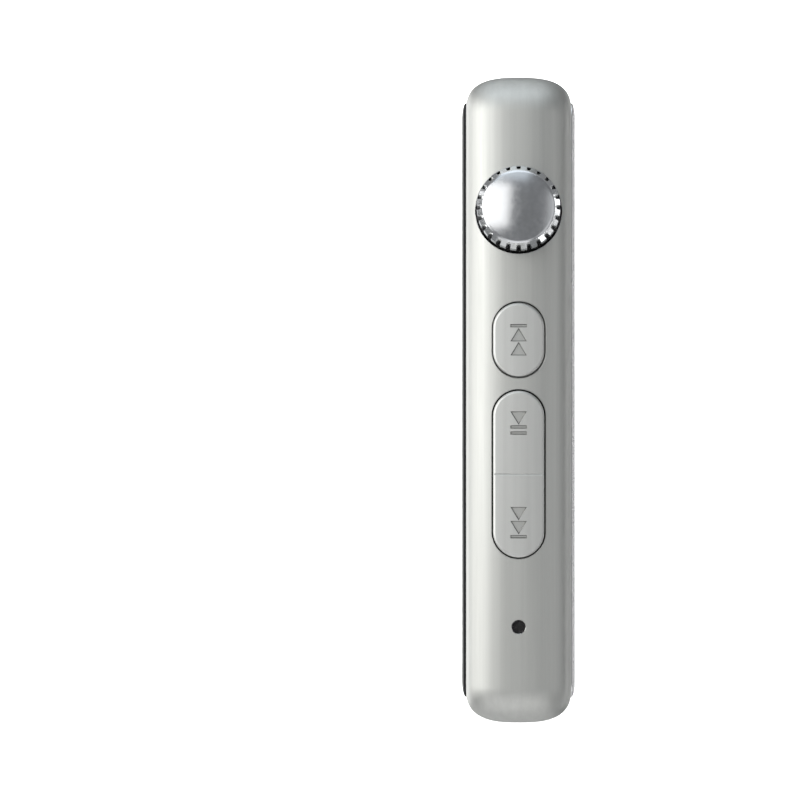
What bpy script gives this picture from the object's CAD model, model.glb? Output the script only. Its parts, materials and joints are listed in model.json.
"""Looks of the pocket audio player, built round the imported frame. Lengths are in metres.

The front glass faces -Y, the edge with the knob and the keys faces +X, and +Z runs up.
"""
import json
import math

import bmesh
import bpy
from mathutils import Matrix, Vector


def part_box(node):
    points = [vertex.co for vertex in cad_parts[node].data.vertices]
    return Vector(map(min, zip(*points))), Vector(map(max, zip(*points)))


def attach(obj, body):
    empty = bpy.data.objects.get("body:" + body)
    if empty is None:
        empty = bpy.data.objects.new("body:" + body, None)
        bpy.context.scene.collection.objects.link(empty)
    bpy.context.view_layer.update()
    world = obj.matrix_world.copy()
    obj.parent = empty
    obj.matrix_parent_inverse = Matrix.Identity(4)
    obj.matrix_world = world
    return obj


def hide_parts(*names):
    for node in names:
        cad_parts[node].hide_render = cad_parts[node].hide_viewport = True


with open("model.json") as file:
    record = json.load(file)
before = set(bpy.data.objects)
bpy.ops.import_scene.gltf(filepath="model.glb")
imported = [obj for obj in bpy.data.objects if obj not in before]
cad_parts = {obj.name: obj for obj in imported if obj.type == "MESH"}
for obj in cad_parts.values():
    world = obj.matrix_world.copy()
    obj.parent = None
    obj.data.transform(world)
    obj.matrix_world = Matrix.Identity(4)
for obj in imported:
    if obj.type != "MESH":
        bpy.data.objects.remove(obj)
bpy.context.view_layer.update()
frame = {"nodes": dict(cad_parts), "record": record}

MM = 0.001
TAU = 2 * math.pi

# ---------------------------------------------------------------- places read from the frame

_, housing_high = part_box("housing")
glass_low, glass_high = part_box("front_glass")
plate_low, plate_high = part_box("back_plate")
knob_low, knob_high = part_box("volume_knob")
seal_low, seal_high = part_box("knob_seal_ring")
previous_low, previous_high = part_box("previous_key")
rocker_low, rocker_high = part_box("play_next_rocker")
mesh_low, mesh_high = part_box("microphone_mesh")
jack_low, jack_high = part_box("headphone_jack")
usb_low, usb_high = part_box("usb_shell")
tongue_low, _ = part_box("usb_tongue")
card_low, card_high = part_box("card_socket")

CREST_X = housing_high.x
HEIGHT = housing_high.z
KNOB_Z = (knob_low.z + knob_high.z) / 2
MIC_Z = (mesh_low.z + mesh_high.z) / 2

# ---------------------------------------------------------------- sizes of the visible shapes

PLATE_PROUD = 0.6 * MM
PLATE_ROLL = 2.6 * MM
PLATE_LIP = 0.12 * MM  # broken edge at the foot of a plate's rim
PLATE_FLAT = 1.5 * MM  # flat ring inside a plate's roll
PLATE_POCKET = 0.71 * MM  # depth of a plate's pocket in the housing
HALF_THICKNESS = -glass_low.y - PLATE_PROUD
PLATE_INSET = glass_low.z
PLATE_GAP = 0.05 * MM
CORNER_RADIUS = 6.5 * MM
LEAST_CORNER = 0.7 * MM
EDGE_ROUNDING = 5.45 * MM
EDGE_CROWN = 0.2 * MM
EDGE_POWER = 3  # of the superellipse across the edge
EDGE_LIMIT = 0.99999  # keeps the slope at the rim finite

KEY_FLANGE = 0.6 * MM
FLANGE_THICKNESS = 0.5 * MM
ROCKER_FLANGE_DEPTH = 2.8 * MM  # from the rocker's crest down to its flange
KEY_GAP = 0.2 * MM
KEY_BEVEL = 0.42 * MM
KEY_CROWN = 0.14 * MM
KEY_HALF = (previous_high.y - previous_low.y) / 2 - KEY_FLANGE
CAP_RINGS = (KEY_BEVEL + 0.15 * MM, 1.4 * MM, 2.4 * MM, 3.3 * MM)  # insets across a cap's crown
KEY_WELL = 2.05 * MM  # depth of the keys' openings below the crest
SYMBOL_DEPTH = 0.24 * MM
SYMBOL_SLOPE = 0.14 * MM
SYMBOL_WIDTH = 2.5 * MM
TRIANGLE_HEIGHT = 2.06 * MM
BAR_HEIGHT = 0.5 * MM
SWITCH_ARM = 8.0 * MM
GROOVE_WIDTH = 0.34 * MM
GROOVE_DEPTH = 0.14 * MM
GROOVE_LIFT = 0.5 * MM  # how far the groove's cutter stands above the rocker

# Where a symbol's shapes stand above the middle of their key.
PREVIOUS_BAR = 2.1 * MM
PREVIOUS_TRIANGLES = (0.76 * MM, -1.36 * MM)
NEXT_TRIANGLES = (2.05 * MM, -0.06 * MM)
NEXT_BAR = -1.41 * MM
PLAY_TRIANGLE = 0.47 * MM
PAUSE_BARS = (-0.86 * MM, -1.78 * MM)

MOUTH_BEVEL = 0.1 * MM  # broken edge round each opening in the knob's edge of the housing
MOUTH_REACH = 2 * MM  # how far the cutter of such an opening stands above the crest
MIC_RADIUS = 1.0 * MM
MIC_DEPTH = 0.75 * MM

JACK_MOUTH = 2.45 * MM
USB_PLAY = 0.2 * MM
CARD_SLOT_WIDTH = 11.5 * MM
CARD_SLOT_HEIGHT = 1.1 * MM
CARD_SLOT_RADIUS = 0.3 * MM
END_BEVEL = 0.15 * MM  # depth of the bevel round an opening in either end
END_FLARE = 1.15 * MM  # width of that bevel where its cutter ends
END_DEPTH = 3.2 * MM

EDGE_SKIN = 1.0 * MM  # metal left between the inner space and the edges
FACE_SKIN = 0.75 * MM  # the same at the faces
VOID_TAPER = 3 * MM  # the inner space narrows over this depth near each face
VOID_SHOULDER = 2.2 * MM  # by this much

KNOB_RADIUS = (knob_high.z - knob_low.z) / 2
KNOB_DOME = 0.8 * MM
KNOB_SHOULDER = 1.1 * MM
KNOB_CHAMFER = 0.85 * MM
KNOB_WALL = 1.2 * MM
KNOB_RECESS = 1.1 * MM  # depth of the wide hollow under the knob
KNOB_CAP = 1.7 * MM  # metal between the shaft and the cap's crest
DOME_SHARE = 0.89  # share of the dome that lies below the end of the frame's knob
FLUTES = 24
FLUTE_WIDTH = 0.72 * MM
FLUTE_DEPTH = 0.6 * MM
CHAMFER_RINGS = (0.06, FLUTE_DEPTH / KNOB_CHAMFER, 0.96, 1)  # shares of the way up the chamfer
KNOB_POCKET_GAP = 0.3 * MM
SEAL_WIDTH = 1.6 * MM
SEAL_LIP = 0.3 * MM
SHAFT_RADIUS = 1.5 * MM

CUT_PAST = 1.0 * MM  # how far a cutter reaches past the surface that it opens
PLAY = 0.03 * MM  # between pieces that seat on each other
HAIR = 0.001 * MM  # the least step between two rings
SAME_POINT = 1e-7  # points nearer than this count as one
NO_LENGTH = 1e-9  # a shorter vector has no direction
LEAST_AGREEMENT = 0.7  # cosine between a face and an exact normal that it may take

# Sides of round shapes, from the knob down to the microphone hole.
FINE = 96
MEDIUM = 64
SMALL = 48
TINY = 40

# Places in the lists of materials: of the housing, of a key and of the knob.
BEVEL = 1
INSIDE = 2
SYMBOL_WALL = 2
SYMBOL_FLOOR = 3
GROOVE = 4
KNOB_SIDE = 1
KNOB_RIM = 3

# ---------------------------------------------------------------- mesh helpers


def make_piece(name, bm, materials, smooth_angle=35):
    """Turns a bmesh into an object with its materials, smooth except across sharp edges."""
    bmesh.ops.recalc_face_normals(bm, faces=bm.faces)
    mesh = bpy.data.meshes.new(name)
    bm.to_mesh(mesh)
    bm.free()
    for material in materials:
        mesh.materials.append(material)
    piece = bpy.data.objects.new(name, mesh)
    bpy.context.scene.collection.objects.link(piece)
    soften(piece, smooth_angle)
    return piece


def soften(piece, angle):
    """Shades a piece smooth, except across edges sharper than an angle in degrees."""
    mesh = piece.data
    mesh.polygons.foreach_set("use_smooth", [True] * len(mesh.polygons))
    mesh.set_sharp_from_angle(angle=math.radians(angle))


def rounded_outline(centre_u, centre_v, size_u, size_v, radius, steps):
    """Counter-clockwise points of a rectangle with rounded corners."""
    points = []
    corners = [(1, 1), (-1, 1), (-1, -1), (1, -1)]
    for quarter, (sign_u, sign_v) in enumerate(corners):
        for step in range(steps + 1):
            angle = (quarter + step / steps) * TAU / 4
            u = centre_u + sign_u * (size_u / 2 - radius) + radius * math.cos(angle)
            v = centre_v + sign_v * (size_v / 2 - radius) + radius * math.sin(angle)
            points.append((u, v))
    distinct = []
    for i, point in enumerate(points):
        if math.dist(point, points[i - 1]) > SAME_POINT:
            distinct.append(point)
    return distinct


def circle(centre_u, centre_v, radius, count):
    return [
        (centre_u + radius * math.cos(TAU * i / count), centre_v + radius * math.sin(TAU * i / count))
        for i in range(count)
    ]


def add_loft(bm, rings, closed=False, material=0):
    """Skins rings of equally many points; unless closed on itself, the ends are capped."""
    rows = [[bm.verts.new(point) for point in ring] for ring in rings]
    count = len(rows[0])
    spans = list(zip(rows, rows[1:]))
    if closed:
        spans.append((rows[-1], rows[0]))
    faces = []
    for lower, upper in spans:
        for i in range(count):
            j = (i + 1) % count
            faces.append(bm.faces.new((lower[i], lower[j], upper[j], upper[i])))
    if not closed:
        faces.append(bm.faces.new(rows[0][::-1]))
        faces.append(bm.faces.new(rows[-1]))
    for face in faces:
        face.material_index = material
    return faces


def along_x(outline, x):
    return [(x, u, v) for u, v in outline]


def along_y(outline, y):
    return [(v, y, u) for u, v in outline]


def along_z(outline, z):
    return [(u, v, z) for u, v in outline]


def add_turned(bm, profile, centre, axis, count):
    """Turns a closed profile of (radius, place along the axis) pairs round an axis."""
    place = {"x": along_x, "z": along_z}[axis]
    rings = [place(circle(centre[0], centre[1], radius, count), at) for radius, at in profile]
    add_loft(bm, rings, closed=True)


def cut_with(piece, tool):
    """Cuts the tool's shape out of the piece; the tool itself stays."""
    modifier = piece.modifiers.new("cut", "BOOLEAN")
    modifier.operation = "DIFFERENCE"
    modifier.solver = "EXACT"
    modifier.object = tool
    modifier.material_mode = "INDEX"
    apply_modifiers(piece)


def apply_modifiers(piece):
    graph = bpy.context.evaluated_depsgraph_get()
    mesh = bpy.data.meshes.new_from_object(piece.evaluated_get(graph))
    old = piece.data
    piece.modifiers.clear()
    piece.data = mesh
    bpy.data.meshes.remove(old)


def remove(piece):
    bpy.data.objects.remove(piece, do_unlink=True)


def set_normals(piece, normal_at):
    """Gives faces of the first material the exact normals of the surface that they approximate."""
    mesh = piece.data
    normals = [corner.vector.copy() for corner in mesh.corner_normals]
    for polygon in mesh.polygons:
        if polygon.material_index != 0:
            continue
        for index in polygon.loop_indices:
            point = mesh.vertices[mesh.loops[index].vertex_index].co
            exact = normal_at(point)
            if exact.dot(polygon.normal) > LEAST_AGREEMENT:
                normals[index] = exact
    mesh.normals_split_custom_set(normals)


# ---------------------------------------------------------------- the housing's outer surface


def edge_fall(y):
    """Depth of the rounded edge below its crest at a distance y from the middle, and its slope."""
    share = min(abs(y) / HALF_THICKNESS, EDGE_LIMIT)
    rest = 1 - share**EDGE_POWER
    fall = EDGE_ROUNDING * (1 - rest ** (1 / EDGE_POWER)) + EDGE_CROWN * share**2
    bend = EDGE_ROUNDING * share ** (EDGE_POWER - 1) * rest ** (1 / EDGE_POWER - 1)
    return fall, (bend + 2 * EDGE_CROWN * share) / HALF_THICKNESS


def face_outline(inset, steps=10):
    """Outline of the device's face, drawn in by an inset."""
    radius = max(CORNER_RADIUS - inset, LEAST_CORNER)
    size_z = HEIGHT - 2 * inset
    size_x = 2 * (CREST_X - inset)
    return rounded_outline(HEIGHT / 2, 0, size_z, size_x, radius, steps)


def outer_normal(point):
    """Normal of the rounded, crowned edge at a point on it."""
    _, slope = edge_fall(point.y)
    core_x = CREST_X - CORNER_RADIUS
    core_z = HEIGHT / 2 - CORNER_RADIUS
    dx = point.x - max(-core_x, min(core_x, point.x))
    dz = (point.z - HEIGHT / 2) - max(-core_z, min(core_z, point.z - HEIGHT / 2))
    flat = Vector((dx, 0, dz))
    if flat.length < NO_LENGTH:
        return Vector((0, math.copysign(1, point.y), 0))
    flat.normalize()
    return Vector((flat.x, math.copysign(slope, point.y), flat.z)).normalized()


def add_mouth_tool(bm, outline, floor_x):
    """A cutter for an opening in the knob's edge, with a bevel that follows the curved surface."""
    centre_u = sum(u for u, _ in outline) / len(outline)
    centre_v = sum(v for _, v in outline) / len(outline)

    def widened(grow):
        ring = []
        for u, v in outline:
            du, dv = u - centre_u, v - centre_v
            length = math.hypot(du, dv)
            ring.append((u + du / length * grow, v + dv / length * grow))
        return ring

    def ring_below(grow, depth):
        return [(CREST_X - edge_fall(u)[0] - depth, u, v) for u, v in widened(grow)]

    rings = [
        along_x(outline, floor_x),
        ring_below(0, MOUTH_BEVEL),
        ring_below(2 * MOUTH_BEVEL, -MOUTH_BEVEL),
        along_x(widened(2 * MOUTH_BEVEL), CREST_X + MOUTH_REACH),
    ]
    faces = add_loft(bm, rings, material=BEVEL)
    for face in [*faces[: len(outline)], faces[-2]]:
        face.material_index = INSIDE


# ---------------------------------------------------------------- materials


class Material:
    """A small node-graph builder on a Principled shader."""

    def __init__(self, name, colour, roughness, metallic=0.0, **sockets):
        self.material = bpy.data.materials.new(name)
        self.material.use_nodes = True
        self.tree = self.material.node_tree
        self.shader = self.tree.nodes["Principled BSDF"]
        self.set("Base Color", (*colour, 1))
        self.set("Roughness", roughness)
        self.set("Metallic", metallic)
        self.colour = colour
        for socket, value in sockets.items():
            self.set(socket.replace("_", " "), value)
        self.coordinates = self.node("ShaderNodeTexCoord").outputs["Object"]
        self.height = None

    def set(self, socket, value):
        self.shader.inputs[socket].default_value = value

    def node(self, kind, **settings):
        made = self.tree.nodes.new(kind)
        for key, value in settings.items():
            setattr(made, key, value)
        return made

    def link(self, output, target):
        self.tree.links.new(output, target)

    def noise(self, scale, detail=4, roughness=0.55):
        """Noise over the object's own coordinates; scale is in cycles per metre along x, y, z."""
        mapping = self.node("ShaderNodeMapping")
        mapping.inputs["Scale"].default_value = scale
        noise = self.node("ShaderNodeTexNoise")
        noise.inputs["Scale"].default_value = 1
        noise.inputs["Detail"].default_value = detail
        noise.inputs["Roughness"].default_value = roughness
        self.link(self.coordinates, mapping.inputs["Vector"])
        self.link(mapping.outputs["Vector"], noise.inputs["Vector"])
        return noise.outputs["Fac"]

    def spread(self, value, low, high):
        """Maps a texture, whose values mostly lie from 0.3 to 0.7, to a range."""
        node = self.node("ShaderNodeMapRange")
        for socket, number in (("From Min", 0.3), ("From Max", 0.7), ("To Min", low), ("To Max", high)):
            node.inputs[socket].default_value = number
        self.link(value, node.inputs["Value"])
        return node.outputs["Result"]

    def vary_roughness(self, value, low, high):
        self.link(self.spread(value, low, high), self.shader.inputs["Roughness"])

    def vary_colour(self, value, dark, light):
        """Blends between two multiples of the base colour."""
        mix = self.node("ShaderNodeMix", data_type="RGBA")
        mix.inputs[6].default_value = (*[c * dark for c in self.colour], 1)
        mix.inputs[7].default_value = (*[min(c * light, 1) for c in self.colour], 1)
        self.link(self.spread(value, 0, 1), mix.inputs[0])
        self.link(mix.outputs[2], self.shader.inputs["Base Color"])

    def bump(self, value, distance):
        """Adds a bump layer; distance is its height in metres."""
        node = self.node("ShaderNodeBump")
        node.inputs["Distance"].default_value = distance
        node.inputs["Strength"].default_value = 1.0
        self.link(value, node.inputs["Height"])
        if self.height is not None:
            self.link(self.height, node.inputs["Normal"])
        self.height = node.outputs["Normal"]
        self.link(self.height, self.shader.inputs["Normal"])


def brushed_aluminium(name, colour, roughness):
    """Satin aluminium, finely brushed along Z over a blasted ground."""
    metal = Material(name, colour, roughness, 1.0)
    strokes = metal.noise((5200, 5200, 55), detail=6, roughness=0.7)
    broad = metal.noise((900, 900, 9), detail=3)
    cloud = metal.noise((60, 60, 18), detail=3)
    grain = metal.noise((9000, 9000, 9000), detail=2)
    metal.vary_roughness(strokes, roughness - 0.05, roughness + 0.05)
    metal.vary_colour(broad, 0.96, 1.04)
    metal.bump(strokes, 1.76e-6)
    metal.bump(grain, 1.2e-6)
    metal.bump(cloud, 3.0e-6)
    return metal.material


def cut_metal(name, colour, roughness):
    """Freshly cut bright edge of the aluminium."""
    metal = Material(name, colour, roughness, 1.0)
    marks = metal.noise((2500, 2500, 2500), detail=3)
    metal.vary_roughness(marks, roughness - 0.04, roughness + 0.06)
    metal.bump(marks, 1.0e-6)
    return metal.material


def polished_metal():
    """Turned and satin-polished cap of the knob."""
    metal = Material("knob_polish", (0.64, 0.65, 0.67), 0.18, 1.0)
    lapping = metal.noise((1400, 1400, 1400), detail=5)
    grain = metal.noise((7000, 7000, 7000), detail=2)
    metal.vary_roughness(lapping, 0.19, 0.25)
    metal.vary_colour(lapping, 0.97, 1.03)
    metal.bump(grain, 0.5e-6)
    return metal.material


def flute_metal():
    """Side of the knob, with fine marks along its flutes."""
    metal = Material("knob_flutes", (0.6, 0.62, 0.64), 0.26, 1.0)
    marks = metal.noise((220, 4200, 4200), detail=4)
    metal.vary_roughness(marks, 0.22, 0.34)
    metal.bump(marks, 1.6e-6)
    return metal.material


def coated_glass(name, colour, roughness, **gloss):
    """Glossy panel under clear glass, with faint dust and handling marks in its gloss."""
    glass = Material(name, colour, roughness, 0.0, **gloss)
    smear = glass.noise((45, 45, 30), detail=4)
    dust = glass.noise((3800, 3800, 3800), detail=2)
    glass.vary_roughness(smear, roughness, roughness + 0.06)
    glass.bump(dust, 0.3e-6)
    return glass.material


def moulded(name, colour, roughness, grain_height=3e-6, grain_scale=5200):
    """Fine-textured moulded plastic or rubber."""
    plastic = Material(name, colour, roughness)
    grain = plastic.noise((grain_scale,) * 3, detail=3)
    patch = plastic.noise((260,) * 3, detail=2)
    plastic.vary_roughness(patch, roughness - 0.06, roughness + 0.06)
    plastic.vary_colour(patch, 0.85, 1.15)
    plastic.bump(grain, grain_height)
    return plastic.material


def rolled_metal(name, colour, roughness, unevenness=1.0):
    """Stamped or turned metal, from even (0) to plainly rolled (1)."""
    metal = Material(name, colour, roughness, 1.0)
    rolling = metal.noise((2600, 2600, 240), detail=4)
    stain = metal.noise((150, 150, 150), detail=3)
    metal.vary_roughness(rolling, roughness - 0.06 * unevenness, roughness + 0.08 * unevenness)
    metal.vary_colour(stain, 1 - 0.1 * unevenness, 1 + 0.06 * unevenness)
    metal.bump(rolling, 1.5e-6 * unevenness)
    return metal.material


def printed_board():
    """Solder mask over copper tracks that show as a slight relief."""
    board = Material("board_mask", (0.012, 0.075, 0.045), 0.38, 0.0, Coat_Weight=0.4, Coat_Roughness=0.2)
    tracks = board.node("ShaderNodeTexBrick")
    mapping = board.node("ShaderNodeMapping")
    mapping.inputs["Scale"].default_value = (420, 420, 420)
    mapping.inputs["Rotation"].default_value = (math.pi / 2, 0, 0)
    board.link(board.coordinates, mapping.inputs["Vector"])
    board.link(mapping.outputs["Vector"], tracks.inputs["Vector"])
    board.vary_colour(tracks.outputs["Fac"], 1.0, 1.5)
    board.bump(tracks.outputs["Fac"], 1.0e-5)
    board.vary_roughness(board.noise((900, 900, 900)), 0.34, 0.46)
    return board.material


shell_metal = brushed_aluminium("shell_brushed", (0.60, 0.605, 0.585), 0.5)
key_metal = brushed_aluminium("key_brushed", (0.68, 0.685, 0.67), 0.5)
bevel_metal = cut_metal("cut_edge", (0.66, 0.66, 0.65), 0.28)
symbol_metal = cut_metal("symbol_wall", (0.36, 0.36, 0.35), 0.42)
symbol_floor = brushed_aluminium("symbol_floor", (0.56, 0.565, 0.55), 0.5)
inner_metal = cut_metal("blackened_inside", (0.02, 0.02, 0.02), 0.6)
knob_cap = polished_metal()
knob_rim = cut_metal("knob_rim", (0.88, 0.89, 0.9), 0.12)
knob_side = flute_metal()
black_glass = coated_glass("black_glass", (0.0015, 0.0016, 0.002), 0.07, IOR=1.3, Specular_IOR_Level=0.2)
back_panel = rolled_metal("back_panel", (0.88, 0.875, 0.88), 0.26, 0.3)
gasket_rubber = moulded("seal_rubber", (0.008, 0.008, 0.009), 0.62)
black_plastic = moulded("black_moulding", (0.012, 0.012, 0.013), 0.45)
plated_steel = rolled_metal("plated_steel", (0.56, 0.57, 0.58), 0.3)
gold_plate = rolled_metal("gold_plate", (0.83, 0.62, 0.28), 0.24)
housing_metals = [shell_metal, bevel_metal, inner_metal]

slot_materials = {
    "aluminium_shell": shell_metal,
    "key_metal": key_metal,
    "knob_metal": knob_cap,
    "black_glass": black_glass,
    "back_panel": back_panel,
    "steel": plated_steel,
    "brass": rolled_metal("turned_brass", (0.70, 0.50, 0.24), 0.3),
    "black_plastic": black_plastic,
    "rubber": gasket_rubber,
    "circuit_board": printed_board(),
    "flex_film": moulded("flex_film", (0.42, 0.17, 0.04), 0.32, 1e-6, 900),
    "battery_foil": rolled_metal("battery_foil", (0.60, 0.61, 0.62), 0.42),
    "adhesive": moulded("foam_tape", (0.66, 0.63, 0.54), 0.8, 2e-5, 2600),
}

# ---------------------------------------------------------------- pieces


replaced_nodes = set()


def finish_piece(piece, body, slot, *nodes):
    """Ties a piece to its body and its slot, and to the nodes that it stands in for."""
    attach(piece, body)
    if nodes:
        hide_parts(*nodes)
        replaced_nodes.update(nodes)


def housing_blank():
    """The solid outer form of the housing, before anything is cut into it."""
    steps = 26
    start = 0.04  # the first level lies just off the middle
    half = []
    for step in range(steps + 1):
        angle = start + (TAU / 4 - start) * step / steps
        half.append(HALF_THICKNESS * math.sin(angle) ** (2 / EDGE_POWER))
    levels = [-y for y in reversed(half)] + half
    bm = bmesh.new()
    add_loft(bm, [along_y(face_outline(edge_fall(y)[0]), y) for y in levels])
    return make_piece("housing_blank", bm, housing_metals)


def tool_piece(name, build):
    """A cutter for the housing, from a function that fills its mesh."""
    bm = bmesh.new()
    build(bm)
    return make_piece(name, bm, housing_metals)


def stadium(low, high, grow, steps=16):
    """Outline of a key, or of its opening, round its centre."""
    centre = (low.z + high.z) / 2
    length = high.z - low.z - 2 * KEY_FLANGE + 2 * grow
    width = 2 * (KEY_HALF + grow)
    return rounded_outline(0, centre, width, length, width / 2, steps)


def inner_void():
    """The space inside the case: a body just under the skin, less the frame's own housing."""
    bm = bmesh.new()
    half = HALF_THICKNESS - FACE_SKIN
    waist = half - VOID_TAPER
    levels = [(-half, VOID_SHOULDER), (-waist, 0), (waist, 0), (half, VOID_SHOULDER)]
    rings = [along_y(face_outline(EDGE_SKIN + extra, steps=6), y) for y, extra in levels]
    add_loft(bm, rings, material=INSIDE)
    void = make_piece("inner_void", bm, housing_metals)
    cut_with(void, frame["nodes"]["housing"])
    for polygon in void.data.polygons:
        polygon.material_index = INSIDE
    return void


def cut_openings(bm):
    """Cutters for the two plates' pockets and the openings in the knob's edge."""
    pocket = face_outline(PLATE_INSET - PLATE_GAP)
    ledge = HALF_THICKNESS - PLATE_POCKET
    for side in (-1, 1):
        rings = [along_y(pocket, side * ledge), along_y(pocket, side * (HALF_THICKNESS + CUT_PAST))]
        add_loft(bm, rings, material=BEVEL)
    floor = CREST_X - KEY_WELL
    add_mouth_tool(bm, stadium(previous_low, previous_high, KEY_GAP), floor)
    add_mouth_tool(bm, stadium(rocker_low, rocker_high, KEY_GAP), floor)
    add_mouth_tool(bm, circle(0, MIC_Z, MIC_RADIUS, TINY), CREST_X - MIC_DEPTH)
    add_mouth_tool(bm, circle(0, KNOB_Z, KNOB_RADIUS + KNOB_POCKET_GAP, FINE), seal_low.x - PLAY)


def end_openings(bm):
    """Cutters for the jack on the top end, and the USB port and card slot on the bottom end."""
    jack_x = (jack_low.x + jack_high.x) / 2
    collar = circle(jack_x, 0, JACK_MOUTH, MEDIUM)
    flared = circle(jack_x, 0, JACK_MOUTH + END_FLARE, MEDIUM)
    jack_rings = [
        along_z(collar, HEIGHT - END_DEPTH),
        along_z(collar, HEIGHT - END_BEVEL),
        along_z(flared, HEIGHT + CUT_PAST),
    ]
    add_loft(bm, jack_rings, material=BEVEL)
    usb_x = (usb_low.x + usb_high.x) / 2
    usb_width = usb_high.x - usb_low.x + USB_PLAY
    usb_height = usb_high.y - usb_low.y + USB_PLAY

    def usb_ring(grow, z):
        size = usb_height + 2 * grow
        return along_z(rounded_outline(usb_x, 0, usb_width + 2 * grow, size, size / 2, 12), z)

    card_x = (card_low.x + card_high.x) / 2
    card_y = (card_low.y + card_high.y) / 2

    def card_ring(grow, z):
        width = CARD_SLOT_WIDTH + 2 * grow
        height = CARD_SLOT_HEIGHT + 2 * grow
        return along_z(rounded_outline(card_x, card_y, width, height, CARD_SLOT_RADIUS + grow, 5), z)

    for ring in (usb_ring, card_ring):
        rings = [ring(END_FLARE, -CUT_PAST), ring(0, END_BEVEL), ring(0, END_DEPTH)]
        add_loft(bm, rings, material=BEVEL)


def make_housing():
    """The outer form with its openings, hollow down to the frame's own housing."""
    housing = housing_blank()
    housing.name = "housing_shell"
    for name, build in (("mouths", cut_openings), ("ends", end_openings)):
        tool = tool_piece(name, build)
        cut_with(housing, tool)
        remove(tool)
    void = inner_void()
    cut_with(housing, void)
    remove(void)
    soften(housing, 30)
    set_normals(housing, outer_normal)
    finish_piece(housing, "case", "aluminium_shell", "housing")


def make_rolled_plate(name, low, high, side, material, slot, node):
    """A plate over one face, with its rim rolled down to the housing."""
    inner_y = high.y if side < 0 else low.y
    steps = 14
    profile = [(PLATE_INSET + PLATE_LIP, inner_y), (PLATE_INSET, inner_y + side * PLATE_LIP)]
    for step in range(steps + 1):
        angle = step / steps * TAU / 4
        inset = PLATE_INSET + PLATE_ROLL * (1 - math.cos(angle))
        profile.append((inset, side * (HALF_THICKNESS + PLATE_PROUD * math.sin(angle))))
    profile.append((PLATE_INSET + PLATE_ROLL + PLATE_FLAT, side * (HALF_THICKNESS + PLATE_PROUD)))
    bm = bmesh.new()
    add_loft(bm, [along_y(face_outline(inset, steps=12), y) for inset, y in profile])
    piece = make_piece(name, bm, [material], smooth_angle=50)
    finish_piece(piece, "case", slot, node)


def crown(y):
    """How far a key's top falls at a distance y from its middle."""
    return KEY_CROWN * (y / KEY_HALF) ** 2


def key_normal(point, low, high):
    """Normal of a cap's wall, rounded rim or crowned top at a point on it."""
    z = max(low.z + KEY_FLANGE + KEY_HALF, min(high.z - KEY_FLANGE - KEY_HALF, point.z))
    out = Vector((0, point.y, point.z - z))
    inset = KEY_HALF - out.length
    wall_x = high.x - KEY_BEVEL - crown(point.y)
    if point.x < wall_x + HAIR:
        return out.normalized()
    if inset < KEY_BEVEL:
        rise = math.acos(max(0, min(1, 1 - inset / KEY_BEVEL)))
        return Vector((math.sin(rise), 0, 0)) + out.normalized() * math.cos(rise)
    return Vector((1, 2 * KEY_CROWN * point.y / KEY_HALF**2, 0)).normalized()


def symbol_triangle(z, way):
    """A triangle that points up (way 1) or down (way -1)."""
    half = way * SYMBOL_WIDTH / 2
    rise = way * TRIANGLE_HEIGHT / 2
    return [(-half, z - rise), (half, z - rise), (0, z + rise)]


def symbol_bar(z):
    half = SYMBOL_WIDTH / 2
    rise = BAR_HEIGHT / 2
    return [(-half, z - rise), (half, z - rise), (half, z + rise), (-half, z + rise)]


def inset_polygon(points, distance):
    """Moves every side of a convex counter-clockwise polygon inwards."""
    moved = []
    count = len(points)
    for i in range(count):
        before, here, after = (Vector(points[(i + k) % count]) for k in (-1, 0, 1))
        first = (here - before).normalized()
        second = (after - here).normalized()
        inward = Vector((-first.y, first.x)) + Vector((-second.y, second.x))
        moved.append(tuple(here + inward * distance / (1 + first.dot(second))))
    return moved


def add_symbol(bm, points, top_x):
    """Cutter for one shape of a key symbol, with sloped walls and a flat floor."""
    floor = along_x(inset_polygon(points, SYMBOL_SLOPE), top_x - SYMBOL_DEPTH)
    rings = [floor, along_x(points, top_x), along_x(points, top_x + CUT_PAST)]
    faces = add_loft(bm, rings, material=SYMBOL_WALL)
    faces[-2].material_index = SYMBOL_FLOOR


def add_groove(bm, z, top_x):
    """Cutter for the shallow V across the rocker, following its crown."""
    steps = 12
    reach = KEY_HALF + CUT_PAST
    wide = GROOVE_WIDTH / 2 * (1 + GROOVE_LIFT / GROOVE_DEPTH)
    rings = []
    for step in range(steps + 1):
        y = -reach + 2 * reach * step / steps
        surface = top_x - crown(min(abs(y), KEY_HALF))
        above = surface + GROOVE_LIFT
        rings.append([(surface - GROOVE_DEPTH, y, z), (above, y, z + wide), (above, y, z - wide)])
    add_loft(bm, rings, material=GROOVE)


def previous_symbol(z):
    triangles = [symbol_triangle(z + rise, 1) for rise in PREVIOUS_TRIANGLES]
    return [symbol_bar(z + PREVIOUS_BAR), *triangles]


def next_symbol(z):
    triangles = [symbol_triangle(z + rise, -1) for rise in NEXT_TRIANGLES]
    return [*triangles, symbol_bar(z + NEXT_BAR)]


def play_pause_symbol(z):
    bars = [symbol_bar(z + rise) for rise in PAUSE_BARS]
    return [symbol_triangle(z + PLAY_TRIANGLE, -1), *bars]


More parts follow.
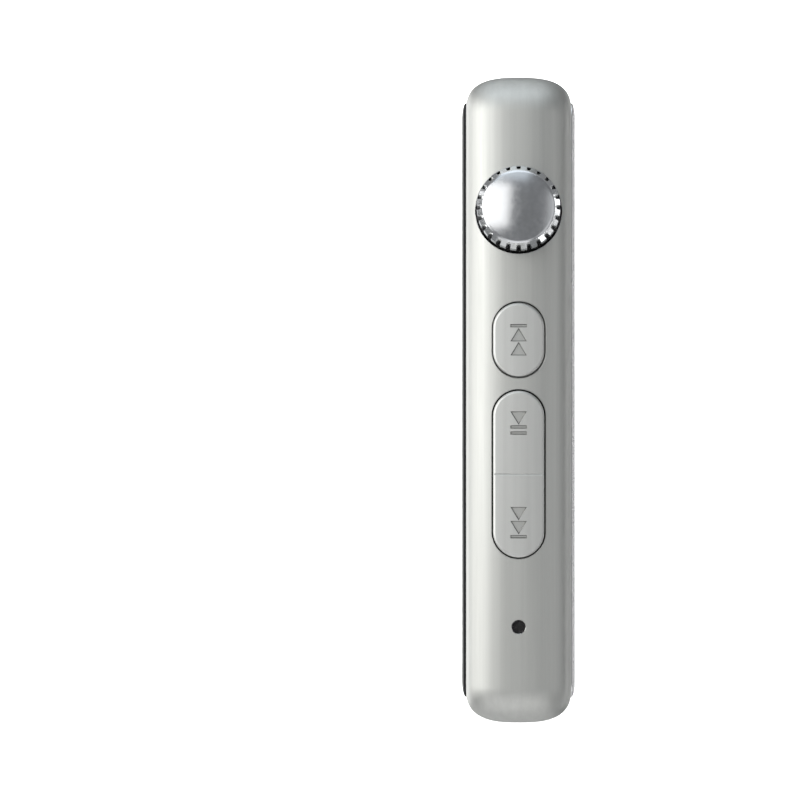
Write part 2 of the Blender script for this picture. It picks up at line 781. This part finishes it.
def make_key(name, low, high, body, node, symbols, groove_z=None):
    """A crowned stadium cap with a bevelled rim, a flange at its foot and cut symbols."""
    top_x = high.x
    flange_top = low.x + FLANGE_THICKNESS if groove_z is None else top_x - ROCKER_FLANGE_DEPTH
    flange_bottom = flange_top - FLANGE_THICKNESS
    profile = [(-KEY_FLANGE, flange_bottom), (-KEY_FLANGE, flange_top), (0, flange_top)]
    bm = bmesh.new()
    rings = [along_x(stadium(low, high, -inset), x) for inset, x in profile]
    bevel_steps = 5
    for step in range(bevel_steps + 1):
        angle = step / bevel_steps * TAU / 4
        inset = KEY_BEVEL * (1 - math.cos(angle))
        sink = KEY_BEVEL * (1 - math.sin(angle))
        rings.append([(top_x - sink - crown(y), y, z) for y, z in stadium(low, high, -inset)])
    for inset in CAP_RINGS:
        rings.append([(top_x - crown(y), y, z) for y, z in stadium(low, high, -inset)])
    add_loft(bm, rings)
    metals = [key_metal, bevel_metal, symbol_metal, symbol_floor, key_metal]
    piece = make_piece(name, bm, metals, smooth_angle=40)
    tool_mesh = bmesh.new()
    for points in symbols:
        add_symbol(tool_mesh, points, top_x)
    if groove_z is not None:
        add_groove(tool_mesh, groove_z, top_x)
    tool = make_piece("symbols", tool_mesh, metals)
    cut_with(piece, tool)
    remove(tool)
    soften(piece, angle=22)
    set_normals(piece, lambda point: key_normal(point, low, high))
    finish_piece(piece, body, "key_metal", node)


def fluted_ring(x, radius, depth):
    """The knob's outline at one height: a circle with round-bottomed flutes."""
    flute_points = 9
    land_points = 6
    pitch = TAU / FLUTES
    flute_angle = FLUTE_WIDTH / KNOB_RADIUS
    ring = []
    for flute in range(FLUTES):
        for i in range(flute_points):
            share = i / flute_points
            angle = flute * pitch + flute_angle * (share - 0.5)
            sink = depth * math.sqrt(max(1 - (2 * share - 1) ** 2, 0))
            ring.append((angle, radius - sink))
        for i in range(land_points):
            angle = flute * pitch + flute_angle / 2 + (pitch - flute_angle) * i / land_points
            ring.append((angle, radius))
    return [(x, -r * math.sin(angle), KNOB_Z + r * math.cos(angle)) for angle, r in ring]


def make_knob():
    """Fluted skirt, bright chamfer and domed cap, hollow underneath."""
    skirt_x = knob_low.x
    rim_x = knob_high.x - KNOB_DOME * DOME_SHARE
    shoulder_x = rim_x - KNOB_SHOULDER
    cap_radius = KNOB_RADIUS - KNOB_CHAMFER
    break_edge = 0.12 * MM
    bm = bmesh.new()
    outer = [
        fluted_ring(skirt_x, KNOB_RADIUS - break_edge, FLUTE_DEPTH - break_edge),
        fluted_ring(skirt_x + break_edge, KNOB_RADIUS, FLUTE_DEPTH),
        fluted_ring(shoulder_x, KNOB_RADIUS, FLUTE_DEPTH),
    ]
    for share in CHAMFER_RINGS:
        x = shoulder_x + KNOB_SHOULDER * share
        sink = KNOB_CHAMFER * share
        outer.append(fluted_ring(x, KNOB_RADIUS - sink, max(FLUTE_DEPTH - sink, 0)))
    faces = add_loft(bm, outer + dome_rings(rim_x, cap_radius))
    per_ring = len(outer[0])
    side_end = 3 * per_ring  # the faces from the skirt to the foot of the chamfer
    rim_end = 6 * per_ring
    for face in faces[:side_end]:
        face.material_index = KNOB_SIDE
    for face in faces[side_end:rim_end]:
        face.material_index = KNOB_RIM
    knob_looks = [knob_cap, knob_side, inner_metal, knob_rim]
    piece = make_piece("knob_fluted", bm, knob_looks, smooth_angle=38)
    hollow = bmesh.new()
    recess = skirt_x + KNOB_RECESS
    wide = circle(0, KNOB_Z, KNOB_RADIUS - KNOB_WALL, SMALL)
    narrow = circle(0, KNOB_Z, SHAFT_RADIUS + PLAY, SMALL)
    rings = [
        along_x(wide, skirt_x - CUT_PAST),
        along_x(wide, recess),
        along_x(narrow, recess + HAIR),
        along_x(narrow, knob_high.x - KNOB_CAP),
    ]
    add_loft(hollow, rings, material=INSIDE)
    tool = make_piece("knob_hollow", hollow, knob_looks)
    cut_with(piece, tool)
    remove(tool)
    soften(piece, angle=38)
    finish_piece(piece, "volume_turn", "knob_metal", "volume_knob")


def dome_rings(rim_x, cap_radius):
    """The rings of the cap, from its rim to its crest."""
    steps = 14
    rings = []
    for step in range(1, steps):
        share = 1 - step / steps
        rings.append(fluted_ring(rim_x + KNOB_DOME * (1 - share**2), cap_radius * share, 0))
    return rings


def make_seal():
    """Black ring in the knob's pocket, with a rounded lip."""
    outer = (seal_high.z - seal_low.z) / 2
    inner = outer - SEAL_WIDTH
    profile = [(inner, seal_low.x), (outer, seal_low.x), (outer, seal_high.x - SEAL_LIP)]
    steps = 6
    for step in range(1, steps + 1):
        angle = step / steps * TAU / 4
        radius = outer - SEAL_LIP * (1 - math.cos(angle))
        profile.append((radius, seal_high.x - SEAL_LIP * (1 - math.sin(angle))))
    profile.append((inner, seal_high.x))
    bm = bmesh.new()
    add_turned(bm, profile, (0, KNOB_Z), "x", FINE)
    piece = make_piece("knob_seal", bm, [gasket_rubber], smooth_angle=40)
    finish_piece(piece, "case", "rubber", "knob_seal_ring")


def make_microphone_mesh():
    """Woven wires in a thin ring, under the microphone hole."""
    ring_outer = (mesh_high.z - mesh_low.z) / 2
    ring_width = 0.12 * MM
    ring_inner = ring_outer - ring_width
    wire = 0.028 * MM
    pitch = 0.15 * MM
    end_gap = 0.04 * MM  # between a wire's end and the outside of the ring
    bm = bmesh.new()
    profile = [
        (ring_inner, mesh_low.x),
        (ring_outer, mesh_low.x),
        (ring_outer, mesh_high.x),
        (ring_inner, mesh_high.x),
    ]
    add_turned(bm, profile, (0, MIC_Z), "x", SMALL)
    middle_x = (mesh_low.x + mesh_high.x) / 2
    count = int(ring_inner / pitch)
    for way in ("y", "z"):
        for i in range(-count, count + 1):
            offset = i * pitch
            half = math.sqrt(max(ring_outer**2 - offset**2, 0)) - end_gap
            add_wire(bm, way, offset, half, middle_x, wire, pitch, i % 2)
    piece = make_piece("mic_mesh", bm, [black_plastic], smooth_angle=60)
    finish_piece(piece, "case", "black_plastic", "microphone_mesh")


def add_wire(bm, way, offset, half, middle_x, wire, pitch, phase):
    """One wire of the weave, running over and under the wires it crosses."""
    sides = 6
    steps = max(int(2 * half / (pitch / 2)), 2)
    flip = 1 if (phase == 0) == (way == "y") else -1
    rings = []
    for step in range(steps + 1):
        run = -half + 2 * half * step / steps
        x = middle_x + flip * wire * math.cos(math.pi * run / pitch)
        ring = []
        for side in range(sides):
            angle = TAU * side / sides
            across = offset + wire * math.cos(angle)
            up = x + wire * math.sin(angle)
            ring.append((up, run, MIC_Z + across) if way == "y" else (up, across, MIC_Z + run))
        rings.append(ring)
    add_loft(bm, rings)


def make_jack():
    """Moulded socket body and its bright turned collar."""
    x = (jack_low.x + jack_high.x) / 2
    bore = 1.77 * MM
    collar = 2.4 * MM
    collar_length = 2.7 * MM
    collar_bevel = 0.15 * MM
    bore_flare = 0.2 * MM
    flare_depth = 0.25 * MM
    top = jack_high.z
    shoulder = HEIGHT - collar_length
    profile = [
        (bore, shoulder),
        (collar, shoulder),
        (collar, top - collar_bevel),
        (collar - collar_bevel, top),
        (bore + bore_flare, top),
        (bore, top - flare_depth),
    ]
    bm = bmesh.new()
    add_turned(bm, profile, (x, 0), "z", MEDIUM)
    ring = make_piece("jack_collar", bm, [plated_steel], smooth_angle=40)
    finish_piece(ring, "case", "steel")
    size = jack_high.x - jack_low.x
    body_corner = 0.4 * MM
    floor_thickness = 1.0 * MM
    bm = bmesh.new()
    outer = rounded_outline(x, 0, size, size, body_corner, 7)
    inner = circle_like(outer, x, 0, bore)
    bottom = jack_low.z
    top_body = shoulder - PLAY
    rings = [
        along_z(outer, bottom),
        along_z(outer, top_body),
        along_z(inner, top_body),
        along_z(inner, bottom + floor_thickness),
    ]
    add_loft(bm, rings)
    body = make_piece("jack_body", bm, [black_plastic], smooth_angle=40)
    finish_piece(body, "case", "black_plastic", "headphone_jack")


def circle_like(outline, centre_u, centre_v, radius):
    """A circle whose points lie in the same directions as an outline's points."""
    points = []
    for u, v in outline:
        du, dv = u - centre_u, v - centre_v
        length = math.hypot(du, dv)
        points.append((centre_u + du / length * radius, centre_v + dv / length * radius))
    return points


def make_usb():
    """Drawn steel shell with a rolled lip, and the tongue with its contacts."""
    x = (usb_low.x + usb_high.x) / 2
    width = usb_high.x - usb_low.x
    height = usb_high.y - usb_low.y
    wall = 0.3 * MM
    lip = 0.1 * MM

    def ring(inset, z):
        size = height - 2 * inset
        return along_z(rounded_outline(x, 0, width - 2 * inset, size, size / 2, 12), z)

    low, high = usb_low.z, usb_high.z
    bm = bmesh.new()
    rings = [
        ring(0, high),
        ring(0, low + lip),
        ring(lip, low),
        ring(wall - lip, low),
        ring(wall, low + lip),
        ring(wall, high),
    ]
    add_loft(bm, rings, closed=True)
    shell = make_piece("usb_port_shell", bm, [plated_steel], smooth_angle=40)
    finish_piece(shell, "case", "steel", "usb_shell")
    make_contacts("usb_contacts_front", x, -1)
    make_contacts("usb_contacts_back", x, 1)


def make_contacts(name, x, side):
    """The row of contacts on one side of the USB tongue."""
    count = 12
    pitch = 0.5 * MM
    width = 0.26 * MM
    thickness = 0.05 * MM
    corner = 0.02 * MM
    height = 0.36 * MM
    set_back = 0.9 * MM  # from the tongue's tip
    forward = 0.6 * MM  # the same for every third contact, which stands further out
    end = 3.6 * MM
    bm = bmesh.new()
    for i in range(count):
        centre = x + (i - (count - 1) / 2) * pitch
        pad = rounded_outline(centre, side * height, width, thickness, corner, 3)
        start = set_back if i % 3 else forward
        add_loft(bm, [along_z(pad, tongue_low.z + start), along_z(pad, tongue_low.z + end)])
    pads = make_piece(name, bm, [gold_plate], smooth_angle=40)
    finish_piece(pads, "case", "brass")


def dress_inner_nodes():
    """Gives every node that still shows the procedural material of its slot."""
    slots = {row["node"]: row["material_slot"] for row in frame["record"]["subparts"]}
    for name, node in frame["nodes"].items():
        if name in replaced_nodes:
            continue
        node.data.materials.clear()
        node.data.materials.append(slot_materials[slots[name]])


# ---------------------------------------------------------------- stage, light and camera

CAMERA_DISTANCE = 220 * MM  # from the crest of the edge
CAMERA_LENS = 65.55
CAMERA_SHIFT = -0.1483  # puts the device right of the middle of the frame
LAMP_AIM = 0.6  # share of the height at which every lamp is aimed
ROOM_LIGHT = (0.215, 0.22, 0.225, 1)


def make_stage():
    """A seamless white bowl: a floor that rises to a wall all round the device."""
    floor_radius = 0.9
    bend = 0.5
    wall_top = 2.6
    centre_radius = 0.02
    steps = 16
    profile = [(centre_radius, 0.0), (floor_radius, 0.0)]
    for step in range(1, steps + 1):
        angle = step / steps * TAU / 4
        profile.append((floor_radius + bend * math.sin(angle), bend * (1 - math.cos(angle))))
    profile.append((floor_radius + bend, wall_top))
    bm = bmesh.new()
    rows = []
    for radius, z in profile:
        rows.append([bm.verts.new((u, v, z)) for u, v in circle(0, 0, radius, FINE)])
    for lower, upper in zip(rows, rows[1:]):
        for i, vertex in enumerate(lower):
            j = (i + 1) % len(lower)
            bm.faces.new((vertex, lower[j], upper[j], upper[i]))
    bm.faces.new(rows[0])
    paper = Material("stage_paper", (0.92, 0.92, 0.92), 0.9)
    paper.bump(paper.noise((300, 300, 300)), 2e-5)
    bowl = make_piece("stage_bowl", bm, [paper.material], smooth_angle=60)
    bowl.visible_glossy = False
    bowl.visible_shadow = False
    return bowl


def add_softbox(name, azimuth, elevation, width, height, radiance, colour=(1, 1, 1), distance=0.5):
    """A rectangular lamp aimed at the device's edge.

    Azimuth 0 is straight out from the knob's edge and grows towards the glass front.
    """
    target = Vector((CREST_X, 0, HEIGHT * LAMP_AIM))
    a, e = math.radians(azimuth), math.radians(elevation)
    way = Vector((math.cos(a) * math.cos(e), -math.sin(a) * math.cos(e), math.sin(e)))
    data = bpy.data.lights.new(name, "AREA")
    data.shape = "RECTANGLE"
    data.size = width
    data.size_y = height
    data.energy = radiance * math.pi * width * height
    data.color = colour
    lamp = bpy.data.objects.new(name, data)
    bpy.context.scene.collection.objects.link(lamp)
    lamp.location = target + way * distance
    lamp.rotation_euler = (-way).to_track_quat("-Z", "Y").to_euler()
    return lamp


def make_lights(bowl):
    """Soft lamps round the device, one that lights only the bowl, and a dim grey room."""
    add_softbox("key_left", 32, 10, 0.84, 0.80, 1.5, (1.0, 0.997, 0.975), 1.0)
    add_softbox("side_left", 70, 8, 1.14, 1.30, 1.6, (1.0, 0.997, 0.975), 1.0)
    add_softbox("back_left", 132, 0, 0.78, 1.20, 1.5, distance=1.0)
    add_softbox("fill_right", -45, -6, 0.30, 0.56, 0.5)
    add_softbox("fill_low", 0, -48, 0.36, 0.26, 0.5)
    add_softbox("strip_right", -108, -14, 0.07, 0.84, 1.7)
    add_softbox("back_right", -150, 0, 0.22, 0.60, 0.7)
    add_softbox("top_cool", 14, 57, 0.38, 0.38, 0.75, (0.84, 0.93, 1.0))
    add_softbox("overhead", 60, 84, 0.60, 0.44, 0.62, (0.9, 0.96, 1.0))
    add_softbox("strip_below", -10, -72, 0.60, 0.06, 0.8)
    add_softbox("glow_below", 90, -80, 1.20, 0.56, 0.42)
    wash = add_softbox("bowl_wash", 0, 90, 1.4, 1.4, 9.0, distance=1.9)
    lit = bpy.data.collections.new("lit_by_wash")
    lit.objects.link(bowl)
    wash.light_linking.receiver_collection = lit
    wash.light_linking.blocker_collection = lit
    world = bpy.data.worlds.new("studio")
    world.use_nodes = True
    background = world.node_tree.nodes["Background"]
    background.inputs["Color"].default_value = ROOM_LIGHT
    background.inputs["Strength"].default_value = 1.0
    scene = bpy.context.scene
    scene.world = world
    scene.view_settings.view_transform = "Standard"


def make_camera():
    """Looks straight at the knob's edge."""
    data = bpy.data.cameras.new("camera")
    data.lens = CAMERA_LENS
    data.sensor_width = 36
    data.clip_start = 0.01
    camera = bpy.data.objects.new("camera", data)
    bpy.context.scene.collection.objects.link(camera)
    data.shift_x = CAMERA_SHIFT
    camera.location = (CREST_X + CAMERA_DISTANCE, 0, HEIGHT / 2)
    camera.rotation_euler = (math.pi / 2, 0, math.pi / 2)
    bpy.context.scene.camera = camera


# ---------------------------------------------------------------- the scene

make_camera()
make_lights(make_stage())
make_housing()
make_rolled_plate("glass_front", glass_low, glass_high, -1, black_glass, "black_glass", "front_glass")
make_rolled_plate("panel_back", plate_low, plate_high, 1, back_panel, "back_panel", "back_plate")
previous_z = (previous_low.z + previous_high.z) / 2
rocker_z = (rocker_low.z + rocker_high.z) / 2
previous_symbols = previous_symbol(previous_z)
make_key("key_previous", previous_low, previous_high, "previous_press", "previous_key", previous_symbols)
rocker_symbols = play_pause_symbol(rocker_z + SWITCH_ARM) + next_symbol(rocker_z - SWITCH_ARM)
make_key(
    "key_rocker", rocker_low, rocker_high, "track_rocker", "play_next_rocker", rocker_symbols, rocker_z
)
make_knob()
make_seal()
make_microphone_mesh()
make_jack()
make_usb()
dress_inner_nodes()
